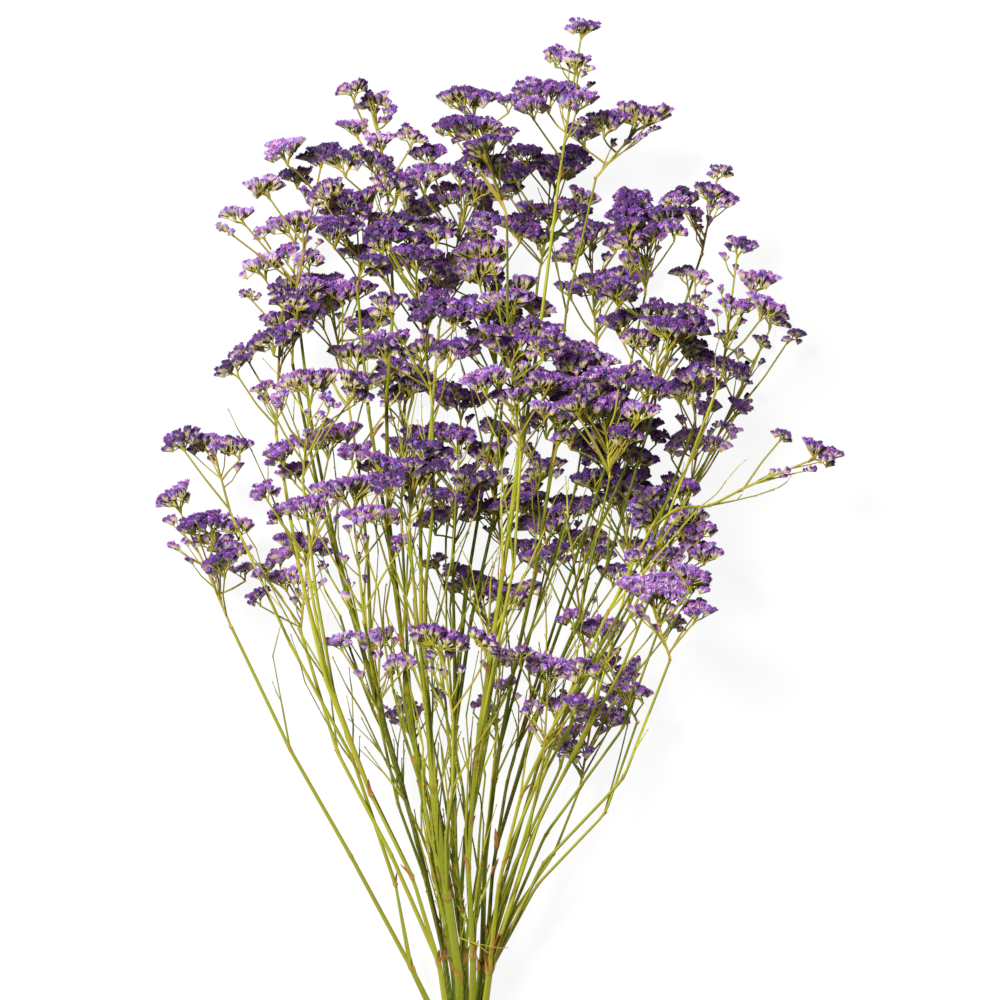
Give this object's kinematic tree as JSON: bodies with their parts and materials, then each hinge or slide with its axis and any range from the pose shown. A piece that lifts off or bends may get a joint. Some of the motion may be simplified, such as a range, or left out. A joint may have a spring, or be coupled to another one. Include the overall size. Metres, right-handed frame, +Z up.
{
  "type": "dried statice bunch",
  "caption": "Lying bunch of dried statice: stiff forked stems fan out from a banded neck to flat-topped heads of tiny purple florets.",
  "frame": {"origin": "on the surface that the bunch lies on, under the middle of its bounding box", "axes": "+Y from the cut ends to the flowers, +Z up from the surface, +X to the right seen from above"},
  "size_m": [0.4288, 0.7084, 0.179],
  "materials": {
    "stem": "dry, matt, finely ridged",
    "flower": "papery and matt",
    "tie": "matt"
  },
  "bodies": {
    "root": {"stem_01": "stem", "stem_02": "stem", "stem_03": "stem", "stem_04": "stem", "stem_05": "stem", "stem_06": "stem", "stem_07": "stem", "stem_08": "stem", "stem_09": "stem", "stem_10": "stem", "stem_11": "stem", "flower_head_01": "flower", "flower_head_02": "flower", "flower_head_03": "flower", "flower_head_04": "flower", "flower_head_05": "flower", "flower_head_06": "flower", "flower_head_07": "flower", "flower_head_08": "flower", "flower_head_09": "flower", "flower_head_10": "flower", "flower_head_11": "flower", "flower_head_12": "flower", "flower_head_13": "flower", "flower_head_14": "flower", "flower_head_15": "flower", "flower_head_16": "flower", "flower_head_17": "flower", "flower_head_18": "flower", "flower_head_19": "flower", "flower_head_20": "flower", "flower_head_21": "flower", "flower_head_22": "flower", "flower_head_23": "flower", "flower_head_24": "flower", "flower_head_25": "flower", "flower_head_26": "flower", "flower_head_27": "flower", "flower_head_28": "flower", "flower_head_29": "flower", "flower_head_30": "flower", "flower_head_31": "flower", "flower_head_32": "flower", "flower_head_33": "flower", "flower_head_34": "flower", "flower_head_35": "flower", "flower_head_36": "flower", "flower_head_37": "flower", "flower_head_38": "flower", "flower_head_39": "flower", "flower_head_40": "flower", "flower_head_41": "flower", "flower_head_42": "flower", "flower_head_43": "flower", "flower_head_44": "flower", "flower_head_45": "flower", "flower_head_46": "flower", "flower_head_47": "flower", "tie_band": "tie"}
  },
  "joints": []
}
